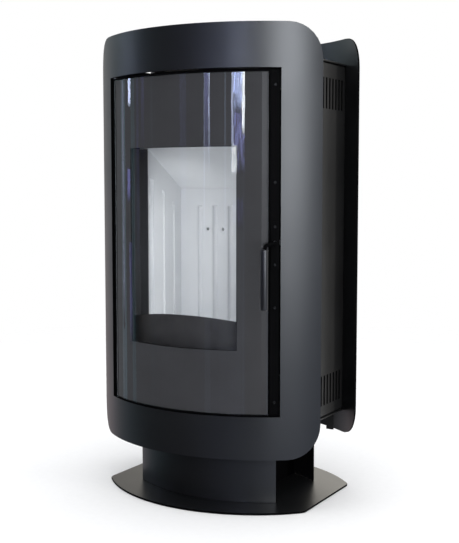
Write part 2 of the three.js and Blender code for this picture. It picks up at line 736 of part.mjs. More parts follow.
// A round bar that leaves the spindle, turns to the left and then down into the grip.
function handleArm() {
  const path = new THREE.CatmullRomCurve3(
    [
      [0, 424.4, 0],
      [0, 432, 0],
      [5, 442, 0],
      [15, 446.5, -1],
      [24, 447, -5],
      [27, 447, -11.5],
      [27, 447, -12.6],
    ].map((point) => new THREE.Vector3(...point)),
  );
  const section = new THREE.Shape(
    Array.from({ length: 12 }, (_, i) => {
      const turn = (i / 12) * 2 * Math.PI;
      return new THREE.Vector2(4.6 * Math.cos(turn), 4.6 * Math.sin(turn));
    }),
  );
  const arm = new THREE.ExtrudeGeometry(section, { steps: 16, bevelEnabled: false, extrudePath: path });
  return atBowAngle(arm, HANDLE.angle, HANDLE.z);
}
add("handle_arm", handleArm(), BLACK_TRIM);

function handleGrip() {
  const { radius: r, top, bottom } = GRIP;
  const profile = [[0, bottom], [r - 1, bottom], [r, bottom + 1], [r, top - 1], [r - 1, top], [0, top]];
  const grip = new THREE.LatheGeometry(profile.map(([radius, z]) => new THREE.Vector2(radius, z)), 20);
  const placed = grip.rotateX(Math.PI / 2).translate(GRIP.toTheLeft, GRIP.fromBowCentre, 0);
  return atBowAngle(placed, HANDLE.angle, 0);
}
add("handle_grip", handleGrip(), BLACK_TRIM);

// A flat tongue on the spindle's inner end, pointing at the keeper.
const tongue = cut(
  block(-23, 6.2, 386, 390, -6.2, 6.2),
  new THREE.CylinderGeometry(HANDLE.spindleHole, HANDLE.spindleHole, 20, 16).translate(0, 388, 0),
);
add("latch_tongue", atBowAngle(tongue, HANDLE.angle, HANDLE.z), ZINC);

// A fixed fork with a roller that the tongue pulls against.
const keeperPin = { x: 240, y: -141, radius: 2.5 };
function latchKeeper() {
  const fork = block(235.5, bodyInner, -150, -133, HANDLE.z - 17, HANDLE.z + 17);
  const mouth = block(230, 244, -160, -130, HANDLE.z - 13.5, HANDLE.z + 13.5);
  const { x, y, radius } = keeperPin;
  return join(cut(fork, mouth), upright(radius, x, y, HANDLE.z - 15, HANDLE.z + 15, 12));
}
add("latch_keeper", latchKeeper(), INNER_STEEL);

export default group;
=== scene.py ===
import json
import math

import bmesh
import bpy
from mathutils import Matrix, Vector


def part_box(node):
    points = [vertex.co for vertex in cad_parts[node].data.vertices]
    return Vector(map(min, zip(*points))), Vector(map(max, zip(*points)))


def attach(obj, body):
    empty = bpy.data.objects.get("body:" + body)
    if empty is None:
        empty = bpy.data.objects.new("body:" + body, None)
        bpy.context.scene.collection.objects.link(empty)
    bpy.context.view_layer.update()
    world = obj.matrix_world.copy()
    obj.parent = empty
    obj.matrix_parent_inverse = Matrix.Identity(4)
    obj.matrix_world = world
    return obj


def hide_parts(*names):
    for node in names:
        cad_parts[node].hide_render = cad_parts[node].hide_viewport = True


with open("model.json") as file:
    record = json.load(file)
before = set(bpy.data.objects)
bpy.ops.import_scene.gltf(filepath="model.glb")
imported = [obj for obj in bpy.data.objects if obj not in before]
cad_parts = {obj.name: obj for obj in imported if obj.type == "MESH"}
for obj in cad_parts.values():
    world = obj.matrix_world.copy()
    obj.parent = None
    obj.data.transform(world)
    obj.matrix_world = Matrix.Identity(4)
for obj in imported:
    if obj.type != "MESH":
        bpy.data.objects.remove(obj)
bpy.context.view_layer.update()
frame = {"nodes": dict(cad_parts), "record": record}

# ---------- the stove's own geometry, in metres

BOW_CENTRE = 0.168  # Y of the front sheet's arc centre; the rear sheet mirrors it
PEDESTAL_BOW_CENTRE = 0.174
BODIES = frame["record"]["behaviour"]["bodies"]
BODY_OF = {node: body for body, nodes in BODIES.items() for node in nodes}
SLOT_OF = {part["node"]: part["material_slot"] for part in frame["record"]["subparts"]}


def on_bow(radius, degrees, z):
    """The point of the front bow at a radius, an angle from the centre line and a height."""
    a = math.radians(degrees)
    return Vector((radius * math.sin(a), BOW_CENTRE - radius * math.cos(a), z))


# ---------- materials


class Nodes:
    """Adds nodes to a node tree and links them."""

    def __init__(self, tree):
        self.tree = tree

    def add(self, kind, **inputs):
        node = self.tree.nodes.new(kind)
        for name, value in inputs.items():
            self.put(node, name.replace("_", " "), value)
        return node

    def put(self, node, name, value):
        socket = node.inputs[name]
        if isinstance(value, bpy.types.NodeSocket):
            self.tree.links.new(value, socket)
        else:
            socket.default_value = value

    def coords(self):
        return self.add("ShaderNodeTexCoord").outputs["Object"]

    def noise(self, scale, detail=3.0):
        node = self.add("ShaderNodeTexNoise", Scale=scale, Detail=detail, Roughness=0.55)
        self.put(node, "Vector", self.coords())
        return node.outputs["Fac"]

    def ramp(self, value, low, high, to_low, to_high):
        node = self.add("ShaderNodeMapRange", Value=value)
        for name, number in zip(("From Min", "From Max", "To Min", "To Max"), (low, high, to_low, to_high)):
            node.inputs[name].default_value = number
        return node.outputs["Result"]

    def blend(self, factor, a, b):
        node = self.tree.nodes.new("ShaderNodeMix")
        node.data_type = "RGBA"
        sockets = [s for s in node.inputs if s.type == "RGBA"]
        self.put(node, "Factor", factor)
        for socket, colour in zip(sockets, (a, b)):
            if isinstance(colour, bpy.types.NodeSocket):
                self.tree.links.new(colour, socket)
            else:
                socket.default_value = (*colour, 1)
        return [s for s in node.outputs if s.type == "RGBA"][0]

    def bump(self, height, strength, distance):
        node = self.add("ShaderNodeBump", Height=height, Strength=strength, Distance=distance)
        return node.outputs["Normal"]

    def math(self, operation, a, b=0.0):
        node = self.tree.nodes.new("ShaderNodeMath")
        node.operation = operation
        for socket, value in zip(node.inputs, (a, b)):
            if isinstance(value, bpy.types.NodeSocket):
                self.tree.links.new(value, socket)
            else:
                socket.default_value = value
        return node.outputs["Value"]


def new_material(name):
    material = bpy.data.materials.new(name)
    material.use_nodes = True
    material.node_tree.nodes.clear()
    nodes = Nodes(material.node_tree)
    output = nodes.add("ShaderNodeOutputMaterial")
    return material, nodes, output


def coated(name, dark, light, roughness, spread, patches, grain, depth, metallic=0.0, specular=0.5):
    """A paint, casting or board: two close colours in soft patches, uneven gloss, and a fine grain."""
    material, nodes, output = new_material(name)
    patch = nodes.noise(patches, 4.0)
    fine = nodes.noise(grain, 2.0)
    shader = nodes.add(
        "ShaderNodeBsdfPrincipled",
        Base_Color=nodes.blend(nodes.ramp(patch, 0.3, 0.7, 0.0, 1.0), dark, light),
        Roughness=nodes.ramp(patch, 0.3, 0.7, roughness - spread, roughness + spread),
        Normal=nodes.bump(fine, 0.35, depth),
        Metallic=metallic,
    )
    shader.inputs["Specular IOR Level"].default_value = specular
    nodes.put(output, "Surface", shader.outputs["BSDF"])
    return material


def fire_board():
    """Pale pressed board: a fine speckle, a slight stain towards grey, and a soft grain."""
    material, nodes, output = new_material("fire_board")
    stained, clean, fleck = (0.77, 0.78, 0.79), (0.85, 0.855, 0.86), (0.55, 0.56, 0.58)
    speckle = nodes.noise(900.0, 2.0)
    cloud = nodes.noise(9.0, 5.0)
    base = nodes.blend(nodes.ramp(cloud, 0.3, 0.7, 0.0, 1.0), stained, clean)
    colour = nodes.blend(nodes.ramp(speckle, 0.62, 0.8, 0.0, 0.5), base, fleck)
    shader = nodes.add(
        "ShaderNodeBsdfPrincipled",
        Base_Color=colour,
        Roughness=nodes.ramp(cloud, 0.3, 0.7, 0.66, 0.8),
        Normal=nodes.bump(nodes.noise(420.0, 4.0), 0.3, 0.0004),
    )
    nodes.put(output, "Surface", shader.outputs["BSDF"])
    return material


def fire_glass():
    """Clear glass that mirrors more at a glancing angle and lets the rest through."""
    material, nodes, output = new_material("fire_glass")
    clear = nodes.add("ShaderNodeBsdfTransparent", Color=(0.93, 0.94, 0.95, 1))
    mirror = nodes.add("ShaderNodeBsdfGlossy", Color=(1, 1, 1, 1))
    nodes.put(mirror, "Roughness", nodes.ramp(nodes.noise(5.0), 0.3, 0.7, 0.012, 0.03))
    fresnel = nodes.add("ShaderNodeFresnel", IOR=1.44)
    outside = nodes.math("SUBTRACT", 1.0, nodes.add("ShaderNodeNewGeometry").outputs["Backfacing"])
    mix = nodes.add("ShaderNodeMixShader", Fac=nodes.math("MULTIPLY", fresnel.outputs["Fac"], outside))
    nodes.tree.links.new(clear.outputs[0], mix.inputs[1])
    nodes.tree.links.new(mirror.outputs[0], mix.inputs[2])
    nodes.put(output, "Surface", mix.outputs[0])
    return material


def rope_weave():
    """Braided rope: two sets of slanting strands that pass over each other, with painted shade in the valleys
    between them.
    """
    material, nodes, output = new_material("rope_weave")
    strands = 1900.0  # radians for each metre
    # Painted shade: the valley colour darkens the rope where the strands dip, and the crown colour is the rope's
    # own.
    valley_shade, crown = (0.018, 0.018, 0.019), (0.13, 0.13, 0.132)
    split = nodes.add("ShaderNodeSeparateXYZ", Vector=nodes.coords())
    across = nodes.math("ADD", split.outputs["X"], split.outputs["Y"])
    up = split.outputs["Z"]
    first = nodes.math("SINE", nodes.math("MULTIPLY", nodes.math("ADD", across, up), strands))
    second = nodes.math("SINE", nodes.math("MULTIPLY", nodes.math("SUBTRACT", across, up), strands))
    braid = nodes.math("MAXIMUM", first, second)
    fuzz = nodes.noise(2500.0, 2.0)
    shader = nodes.add(
        "ShaderNodeBsdfPrincipled",
        Base_Color=nodes.blend(nodes.ramp(braid, -0.4, 1.0, 0.0, 1.0), valley_shade, crown),
        Roughness=nodes.ramp(fuzz, 0.3, 0.7, 0.85, 0.98),
        Normal=nodes.bump(braid, 0.7, 0.0007),
    )
    nodes.put(output, "Surface", shader.outputs["BSDF"])
    return material


# Darker and lighter colour, roughness and its spread, scale of the patches, scale and depth of the grain, and
# any other settings.
COATINGS = {
    "panel_paint": (
        (0.0040, 0.0042, 0.0048), (0.0052, 0.0055, 0.0062), 0.36, 0.02, 7.0, 2600.0, 0.00003, {},
    ),
    "body_paint": (
        (0.019, 0.0185, 0.0175), (0.024, 0.0232, 0.0218), 0.5, 0.03, 9.0, 2200.0, 0.00004, {},
    ),
    "inner_steel": (
        (0.034, 0.031, 0.030), (0.041, 0.0375, 0.0365), 0.55, 0.05, 14.0, 1800.0, 0.00005, {},
    ),
    "ashy_steel": (
        (0.076, 0.074, 0.076), (0.096, 0.094, 0.098), 0.62, 0.05, 14.0, 1800.0, 0.00005, {},
    ),
    "cast_iron": (
        (0.030, 0.026, 0.024), (0.045, 0.040, 0.037), 0.6, 0.06, 30.0, 700.0, 0.0002, {},
    ),
    "zinc": (
        (0.46, 0.47, 0.49), (0.54, 0.55, 0.56), 0.40, 0.03, 24.0, 900.0, 0.00002, {"metallic": 1.0},
    ),
    "black_trim": (
        (0.006, 0.006, 0.0075), (0.009, 0.009, 0.0105), 0.34, 0.03, 12.0, 2600.0, 0.00002, {},
    ),
    # Dead black with almost no gloss: painted shade on cut edges, the firebox side walls, the handle arm and the
    # strip under the door, and the thin dark line round the glass window.
    "matt_black": (
        (0.0014, 0.0014, 0.0016), (0.0022, 0.0022, 0.0025), 0.6, 0.04, 16.0, 2400.0, 0.00003, {"specular": 0.015},
    ),
    "screw_black": (
        (0.003, 0.003, 0.0035), (0.004, 0.004, 0.0048), 0.42, 0.04, 12.0, 2600.0, 0.00002, {"specular": 0.12},
    ),
    "print_black": (
        (0.057, 0.0555, 0.0575), (0.063, 0.0615, 0.0645), 0.6, 0.02, 10.0, 3000.0, 0.00001, {"specular": 0.0},
    ),
}
MATERIALS = {name: coated(name, *row, **settings) for name, (*row, settings) in COATINGS.items()}
MATERIALS["fire_board"] = fire_board()
MATERIALS["fire_glass"] = fire_glass()
MATERIALS["glass_rope"] = rope_weave()

# ---------- building pieces


def piece(name, mesh, material, body, replaced=()):
    """Puts a finished mesh in the scene: it rides on its body, and stands for the CAD nodes it replaces."""
    mesh.materials.clear()
    mesh.materials.append(MATERIALS[material])
    obj = bpy.data.objects.new(name, mesh)
    bpy.context.scene.collection.objects.link(obj)
    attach(obj, body)
    if replaced:
        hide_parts(*replaced)
    return obj


def bow_normal(point, centre):
    """The level direction at a point, away from a bow's centre line at Y = centre."""
    out = Vector((point.x, point.y - centre, 0))
    return out.normalized()


def shade(mesh, bevel_faces, bow=None):
    """Gives each corner the normal of the large face it belongs to, and a radial one on a bowed face.

    bevel_faces holds a flag for each face that only rounds an edge, and bow is the Y of the bow's centre.
    """
    bm = bmesh.new()
    bm.from_mesh(mesh)
    bm.faces.ensure_lookup_table()
    normals = []
    smooth_limit = math.cos(math.radians(30))
    radial_limit = 0.9993  # cosine of the angle that a facet of a bow may be off its radius

    def on_bowed_face(face):
        return bow is not None and abs(face.normal.dot(bow_normal(face.calc_center_median(), bow))) > radial_limit

    bowed = [on_bowed_face(f) if not bevel_faces[f.index] else False for f in bm.faces]
    for face in bm.faces:
        for loop in face.loops:
            vert = loop.vert
            large = [f for f in vert.link_faces if not bevel_faces[f.index]]
            if not large:
                normals.append(vert.normal.copy())
                continue
            lead = face if not bevel_faces[face.index] else max(large, key=lambda f: f.normal.dot(face.normal))
            if bowed[lead.index]:
                radial = bow_normal(vert.co, bow)
                normals.append(radial if radial.dot(lead.normal) > 0 else -radial)
                continue
            total = Vector()
            for f in large:
                if f.normal.dot(lead.normal) > smooth_limit:
                    total += f.normal * f.calc_area()
            normals.append(total.normalized() if total.length > 0 else lead.normal.copy())
    bm.free()
    mesh.polygons.foreach_set("use_smooth", [True] * len(mesh.polygons))
    mesh.normals_split_custom_set(normals)
    mesh.update()


def bevelled(bm, width, segments):
    """Rounds the sharp edges, and returns a flag for each face: True where the rounding made it."""
    limit = math.radians(28)
    sharp = [e for e in bm.edges if len(e.link_faces) == 2 and e.calc_face_angle(0.0) > limit]
    made = bmesh.ops.bevel(
        bm,
        geom=sharp,
        offset=width,
        offset_type="OFFSET",
        segments=segments,
        profile=0.5,
        affect="EDGES",
        clamp_overlap=True,
    )
    bm.faces.index_update()
    new = {f.index for f in made["faces"]}
    return [i in new for i in range(len(bm.faces))]


WELD = 0.00002
SAME_PLANE = math.radians(0.5)
LARGE_FACE = 0.96  # a face whose normal is this close to the sheet's own is not a cut edge


def refined(node, width=0.0005, segments=2, material=None, bow=None, rim=None, facing=(0, 0, 1)):
    """A finished copy of a CAD node: joined faces, rounded edges and smooth bows.

    width and segments are those of the rounding. rim is the material of the cut edges of a sheet, which is bowed
    about bow, or else faces along facing; a dead black rim is painted shade that keeps the cut edges from
    catching highlights.
    """
    mesh = frame["nodes"][node].data.copy()
    bm = bmesh.new()
    bm.from_mesh(mesh)
    bmesh.ops.remove_doubles(bm, verts=bm.verts, dist=WELD)
    bmesh.ops.dissolve_limit(bm, angle_limit=SAME_PLANE, verts=bm.verts, edges=bm.edges)
    flags = bevelled(bm, width, segments)
    bm.normal_update()
    bm.to_mesh(mesh)
    bm.free()
    if mesh.attributes.get("custom_normal"):
        mesh.attributes.remove(mesh.attributes["custom_normal"])
    shade(mesh, flags, bow)
    obj = piece(f"{node}_finished", mesh, material or SLOT_OF[node], BODY_OF[node], (node,))
    # Painted shade: cut edges, told from the sheet's own faces by their normals, take the rim material.
    if rim:
        mesh.materials.append(MATERIALS[rim])
        for face in mesh.polygons:
            large = bow_normal(face.center, bow) if bow is not None else Vector(facing)
            face.material_index = abs(face.normal.dot(large)) < LARGE_FACE
    return obj


def mesh_from(bm, name):
    mesh = bpy.data.meshes.new(name)
    bm.normal_update()
    bm.to_mesh(mesh)
    bm.free()
    return mesh


# ---------- pedestal, casing and firebox shell

# These sheets get dead black cut edges as painted shade.
refined("base_plate", 0.0012, 3, rim="matt_black")
refined("pedestal_front_sheet", 0.0005, 2, bow=PEDESTAL_BOW_CENTRE, rim="matt_black")
refined("pedestal_rear_sheet", 0.0005, 2, bow=-PEDESTAL_BOW_CENTRE, rim="matt_black")
refined("front_panel", 0.0016, 4, bow=BOW_CENTRE, rim="matt_black")
refined("rear_panel", 0.0016, 4, bow=-BOW_CENTRE, rim="matt_black")
for node in (
    "pedestal_column",
    "pedestal_cap",
    "body_bottom_plate",
    "body_lid",
    "body_back_panel",
    "firebox_back_wall",
    "firebox_floor",
    "firebox_roof",
    "firebox_support_left",
    "firebox_support_right",
    "hearth_plate",
    "upper_baffle",
    "ash_pan",
    "air_box",
    "hinge_bracket_lower",
    "hinge_bracket_upper",
    "latch_keeper",
    "latch_tongue",
    "hinge_pin_lower",
    "hinge_pin_upper",
    "handle_spindle",
):
    refined(node, 0.0004)
for node in (
    "firebox_front_frame",
    "log_guard",
    "door_frame",
    "door_strip_left",
    "door_strip_right",
    "lock_plate",
):
    refined(node, 0.0004, bow=BOW_CENTRE)
# The side panels get dead black cut edges, and the firebox side walls inside the casing are dead black, both as
# painted shade.
for side in ("left", "right"):
    refined(f"side_panel_{side}", 0.0004, rim="matt_black", facing=(1, 0, 0))
    refined(f"firebox_side_wall_{side}", 0.0004, material="matt_black")
    refined(f"lining_retainer_{side}", 0.0004, material="ashy_steel")
refined("air_slide", 0.0004, material="body_paint")
refined("door_glass", 0.0008, 3, bow=BOW_CENTRE)
refined("grate", 0.0012, 2)
refined("floor_lining", 0.0015, 2)
refined("lower_baffle", 0.0015, 2)
refined("glass_seal", 0.0012, 3)
refined("door_rope_seal", 0.0040, 4)


# ---------- turned pieces


def turned(node, profile, origin, axis, start, steps=64, material=None, hexagon=()):
    """A solid turned about an axis from (radius, height) pairs; the rows listed in hexagon are six-sided."""
    axis, start = Vector(axis).normalized(), Vector(start).normalized()
    side = axis.cross(start)
    bm = bmesh.new()
    rows = []
    for k, (radius, height) in enumerate(profile):
        if radius == 0:
            rows.append([bm.verts.new(Vector(origin) + axis * height)])
            continue
        row = []
        for i in range(steps):
            a = 2 * math.pi * i / steps
            size = radius
            if k in hexagon:
                size = radius / math.cos((a % (math.pi / 3)) - math.pi / 6)
            arm = start * math.cos(a) + side * math.sin(a)
            row.append(bm.verts.new(Vector(origin) + axis * height + arm * size))
        rows.append(row)
    pairs = list(zip(rows, rows[1:]))
    if len(rows[0]) > 1:
        pairs.append((rows[-1], rows[0]))
    for low, high in pairs:
        for i in range(steps):
            j = (i + 1) % steps
            corners = [
                low[i % len(low)],
                low[j % len(low)],
                high[j % len(high)],
                high[i % len(high)],
            ]
            bm.faces.new([v for n, v in enumerate(corners) if v not in corners[:n]])
    bmesh.ops.recalc_face_normals(bm, faces=bm.faces)
    mesh = mesh_from(bm, node)
    mesh.polygons.foreach_set("use_smooth", [True] * len(mesh.polygons))
    mesh.set_sharp_from_angle(angle=math.radians(38))
    return piece(f"{node}_finished", mesh, material or SLOT_OF[node], BODY_OF[node], (node,))


def ring_profile(outer, inner, low, high, lip):
    """The section of a tube with rounded rims."""
    steps = [i * math.pi / 10 for i in range(6)]
    turns = (
        (outer - lip, low + lip, lambda a: (math.sin(a), -math.cos(a))),
        (outer - lip, high - lip, lambda a: (math.cos(a), math.sin(a))),
        (inner + lip, high - lip, lambda a: (-math.sin(a), math.cos(a))),
        (inner + lip, low + lip, lambda a: (-math.cos(a), -math.sin(a))),
    )
    return [(r + lip * f(a)[0], z + lip * f(a)[1]) for r, z, f in turns for a in steps]


for node, wall in (("flue_collar", 0.0025), ("air_inlet_spigot", 0.0015)):
    low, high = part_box(node)
    radius = (high.x - low.x) / 2
    profile = ring_profile(radius, radius - wall, low.z, high.z, wall * 0.42)
    turned(node, profile, (0, 0, 0), (0, 0, 1), (1, 0, 0), 96)


def outward(angle):
    a = math.radians(angle)
    return Vector((math.sin(a), -math.cos(a), 0))


def screw(node, radius, thickness):
    """A low domed screw head with a hexagon socket, facing out of the bow."""
    low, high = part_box(node)
    middle = (low + high) / 2
    out = bow_normal(middle, BOW_CENTRE)
    top = thickness / 2
    rise = thickness * 0.55
    crown, rim, socket = 0.0019, 0.0016, 0.0015
    profile = [(0.0, -top), (radius, -top)]
    for i in range(7):
        a = math.pi / 2 * i / 6
        profile.append((radius - (radius - crown) * (1 - math.cos(a)), top - rise + rise * math.sin(a)))
    profile += [(rim, top), (socket, top - 0.0001), (socket, -top + 0.0004), (0.0, -top + 0.0002)]
    turned(node, profile, middle, out, (0, 0, 1), 48, "screw_black", hexagon=(9, 10, 11))


for i in (1, 2, 3, 4):
    screw(f"strip_screw_{i}", 0.0034, 0.0019)
for i in (1, 2):
    screw(f"lock_screw_{i}", 0.0032, 0.0017)

# ---------- handle: a bent arm and a turned grip


def swept(node, path, radius, material, sides=28):
    """A round bar along a smooth path, closed at both ends."""
    bm = bmesh.new()
    rows = []
    side = None
    for i, point in enumerate(path):
        ahead = (path[min(i + 1, len(path) - 1)] - path[max(i - 1, 0)]).normalized()
        side = (ahead.orthogonal() if side is None else side - ahead * side.dot(ahead)).normalized()
        other = ahead.cross(side)
        row = []
        for k in range(sides):
            a = 2 * math.pi * k / sides
            row.append(bm.verts.new(point + (side * math.cos(a) + other * math.sin(a)) * radius))
        rows.append(row)
    for low, high in zip(rows, rows[1:]):
        for k in range(sides):
            bm.faces.new([low[k], low[(k + 1) % sides], high[(k + 1) % sides], high[k]])
    bm.faces.new(rows[0])
    bm.faces.new(rows[-1])
    bmesh.ops.recalc_face_normals(bm, faces=bm.faces)
    mesh = mesh_from(bm, node)
    mesh.polygons.foreach_set("use_smooth", [True] * len(mesh.polygons))
    mesh.set_sharp_from_angle(angle=math.radians(40))
    return piece(f"{node}_finished", mesh, material, BODY_OF[node], (node,))


HANDLE_ANGLE = 33.4
HANDLE_HEIGHT = 0.634
ARM_RADIUS = 0.0045
GRIP_LIP = 0.0022
# The arm's path: steps to the left, distance from the bow's centre, rise.
ARM_PATH = (
    (0, 0.4244, 0),
    (0, 0.434, 0),
    (0.005, 0.442, 0),
    (0.015, 0.4465, -0.001),
    (0.024, 0.447, -0.005),
    (0.027, 0.447, -0.0126),
)
handle_out = outward(HANDLE_ANGLE)
handle_left = Vector((handle_out.y, -handle_out.x, 0))


def at_handle(left, out, rise):
    return Vector((0, BOW_CENTRE, HANDLE_HEIGHT + rise)) + handle_out * out + handle_left * left


def smooth_path(points, steps=14):
    """A path through the points with soft bends."""
    path = []
    padded = [points[0] * 2 - points[1], *points, points[-1] * 2 - points[-2]]
    for a, b, c, d in zip(padded, padded[1:], padded[2:], padded[3:]):
        for i in range(steps):
            t = i / steps
            square = a * 2 - b * 5 + c * 4 - d
            cube = b * 3 - a - c * 3 + d
            path.append((b * 2 + (c - a) * t + square * t**2 + cube * t**3) * 0.5)
    return [*path, points[-1]]


# The arm is drawn in dead black without gloss as painted shade, in place of its own black trim's sheen.
swept("handle_arm", smooth_path([at_handle(*p) for p in ARM_PATH]), ARM_RADIUS, "matt_black")
low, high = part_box("handle_grip")
middle = (low + high) / 2
half = (high.z - low.z) / 2
radius = (high.x - low.x) / 2
profile = [(0.0, -half)]
for sign in (-1, 1):
    bend = [(i * math.pi / 12) for i in range(7)]
    for a in bend if sign < 0 else bend[::-1]:
        inset, drop = GRIP_LIP * (1 - math.sin(a)), GRIP_LIP * (1 - math.cos(a))
        profile.append((radius - inset, sign * (half - drop)))
profile.append((0.0, half))
turned("handle_grip", profile, middle, (0, 0, 1), (1, 0, 0), 64)

# ---------- fire-board linings with rounded flutes


def relief(node, across, up, depth_at, place, material="fire_board"):
    """A board whose face is a grid of lines, pressed in by depth_at, and closed behind by a plain back."""
    bm = bmesh.new()
    front = [[bm.verts.new(place(u, v, depth_at(u, v), False)) for v in up] for u in across]
    rim = [(i, 0) for i in range(len(across))]
    rim += [(len(across) - 1, j) for j in range(1, len(up))]
    rim += [(i, len(up) - 1) for i in range(len(across) - 2, -1, -1)]
    rim += [(0, j) for j in range(len(up) - 2, 0, -1)]
    back = {ij: bm.verts.new(place(across[ij[0]], up[ij[1]], 0, True)) for ij in rim}
    for i in range(len(across) - 1):
        for j in range(len(up) - 1):
            bm.faces.new([front[i][j], front[i + 1][j], front[i + 1][j + 1], front[i][j + 1]])
    for a, b in zip(rim, rim[1:] + rim[:1]):
        bm.faces.new([front[a[0]][a[1]], front[b[0]][b[1]], back[b], back[a]])
    bm.faces.new([back[ij] for ij in rim])
    bmesh.ops.recalc_face_normals(bm, faces=bm.faces)
    mesh = mesh_from(bm, node)
    mesh.polygons.foreach_set("use_smooth", [True] * len(mesh.polygons))
    mesh.set_sharp_from_angle(angle=math.radians(34))
    return piece(f"{node}_finished", mesh, material, BODY_OF[node], (node,))


def lines(low, high, coarse, fine):
    """Grid lines from low to high, about coarse apart, and step apart near each (middle, reach, step) in fine."""
    parts = round((high - low) / coarse)
    made = {round(low + (high - low) * i / max(1, parts), 6) for i in range(parts + 1)}
    for middle, reach, step in fine:
        count = round(reach / step)
        for i in range(-count, count + 1):
            if low < middle + i * step < high:
                made.add(round(middle + i * step, 6))
    kept = []
    for value in sorted(made):
        if not kept or value - kept[-1] > 0.0002:
            kept.append(value)
    kept[-1] = high
    return kept


def flute(offset, half_width, from_bottom, from_top, depth):
    """How deep a round-ended flute is at an offset from its middle line and a distance from each end."""
    t = abs(offset) / half_width
    if t >= 1 or from_bottom <= 0 or from_top <= 0:
        return 0.0
    end = min(1.0, from_bottom / half_width, from_top / half_width)
    return depth * (1 - t * t) ** 0.6 * math.sqrt(1 - (1 - end) ** 2)


SLOPE = 0.6525  # the boards' sloped tops rise this much for each metre forwards

low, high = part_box("back_lining")
back_low, back_high, back_front, back_rear = low.z, high.z, low.y, high.y
BACK_FLUTES = (-0.115, -0.069, -0.023, 0.023, 0.069, 0.115)
BACK_FLUTE_HALF_WIDTH, BACK_FLUTE_TOP, BACK_FLUTE_DEPTH = 0.0075, 0.712, 0.0065
FLUTE_START = 0.030  # above the foot of a board
AIR_HOLES = (-0.092, -0.046, 0.0, 0.046, 0.092)
HOLE_Z, HOLE_RADIUS, HOLE_DEPTH = 0.650, 0.0036, 0.022
DIMPLE_RADIUS, DIMPLE_DEPTH = 0.0105, 0.0030  # the soft hollow round a hole


def back_depth(x, z):
    above, below = z - back_low - FLUTE_START, BACK_FLUTE_TOP - z
    depth = max(flute(x - f, BACK_FLUTE_HALF_WIDTH, above, below, BACK_FLUTE_DEPTH) for f in BACK_FLUTES)
    for hole in AIR_HOLES:
        reach = math.hypot(x - hole, (z - HOLE_Z) * 0.8)
        if reach < DIMPLE_RADIUS:
            depth = max(depth, DIMPLE_DEPTH * (1 - reach / DIMPLE_RADIUS))
        if math.hypot(x - hole, z - HOLE_Z) < HOLE_RADIUS:
            depth = HOLE_DEPTH
    return depth


def back_place(x, z, depth, behind):
    if not behind:
        return Vector((x, back_front + depth, z))
    fall = (back_rear - back_front) * SLOPE
    share = (back_high - fall - back_low) / (back_high - back_low)
    return Vector((x, back_rear, back_low + (z - back_low) * share))


across = [(f, 0.009, 0.0009) for f in BACK_FLUTES] + [(h, 0.012, 0.0010) for h in AIR_HOLES]
upward = [(HOLE_Z, 0.014, 0.0011), (0.708, 0.006, 0.0012), (back_low + 0.034, 0.006, 0.0012)]
relief(
    "back_lining",
    lines(low.x, high.x, 0.012, across),
    lines(low.z, high.z, 0.02, upward),
    back_depth,
    back_place,
)

SIDE_FLUTES = ((-0.085, 0.009, 0.0060), (-0.032, 0.0058, 0.0048), (0.015, 0.0058, 0.0048))  # Y, half width, depth
SIDE_FLUTE_END = 0.062  # below the sloped top
for side, node in ((-1, "side_lining_left"), (1, "side_lining_right")):
    low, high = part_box(node)
    front_y, rear_y, floor_z, crest = low.y, high.y, low.z, high.z
    inner, outer = sorted((abs(low.x), abs(high.x)))

    def side_top(y):
        return crest - (y - front_y) * SLOPE

    def side_depth(y, v):
        z = floor_z + (side_top(y) - floor_z) * v
        above, below = z - floor_z - FLUTE_START, side_top(y) - SIDE_FLUTE_END - z
        return max(flute(y - f, w, above, below, depth) for f, w, depth in SIDE_FLUTES)

    def side_place(y, v, depth, behind):
        z = floor_z + (side_top(y) - floor_z) * v
        return Vector((side * (outer if behind else inner + depth), y, z))

    relief(
        node,
        lines(front_y, rear_y, 0.012, [(f, w * 1.15, w / 9) for f, w, _ in SIDE_FLUTES]),
        lines(0.0, 1.0, 0.05, [(0.072, 0.012, 0.003), (0.85, 0.035, 0.003)]),
        side_depth,
        side_place,
    )


def bowed_ring(radius, thickness, half, bottom, top, inner_half, inner_bottom, inner_top):
    """A thin bowed sheet with a rectangular window in it, as one closed mesh; the half widths are angles."""
    steps = 48
    angles = {round(-half + 2 * half * i / steps, 6) for i in range(steps + 1)}
    angles = sorted(angles | {-inner_half, inner_half})
    heights = [bottom, inner_bottom, inner_top, top]
    bm = bmesh.new()
    grid = {}
    for side, r in enumerate((radius, radius - thickness)):
        for i, a in enumerate(angles):
            for j, z in enumerate(heights):
                grid[side, i, j] = bm.verts.new(on_bow(r, a, z))
    solid = set()
    for i in range(len(angles) - 1):
        for j in range(3):
            middle = (angles[i] + angles[i + 1]) / 2
            if not (j == 1 and abs(middle) < inner_half):
                solid.add((i, j))
    for i, j in solid:
        corners = [(i, j), (i + 1, j), (i + 1, j + 1), (i, j + 1)]
        bm.faces.new([grid[(0, *c)] for c in corners])
        bm.faces.new([grid[(1, *c)] for c in reversed(corners)])
        edges = zip(corners, corners[1:] + corners[:1])
        neighbours = ((i, j - 1), (i + 1, j), (i, j + 1), (i - 1, j))
        for (a, b), neighbour in zip(edges, neighbours):
            if neighbour not in solid:
                bm.faces.new([grid[(0, *b)], grid[(0, *a)], grid[(1, *a)], grid[(1, *b)]])
    loose = [v for v in bm.verts if not v.link_faces]
    bmesh.ops.delete(bm, geom=loose, context="VERTS")
    bmesh.ops.recalc_face_normals(bm, faces=bm.faces)
    mesh = mesh_from(bm, "bowed_ring")
    shade(mesh, [False] * len(mesh.polygons), BOW_CENTRE)
    return mesh


PRINT_RADIUS, PRINT_THICKNESS = 0.40882, 0.00008
PRINT_HALF, WINDOW_HALF, WINDOW_BOTTOM, WINDOW_TOP = 31.25, 21.2, 0.385, 0.853
CLEAR_HALF, CLEAR_BOTTOM, CLEAR_TOP = 21.03, 0.3865, 0.8518  # inside the fine black line round the window

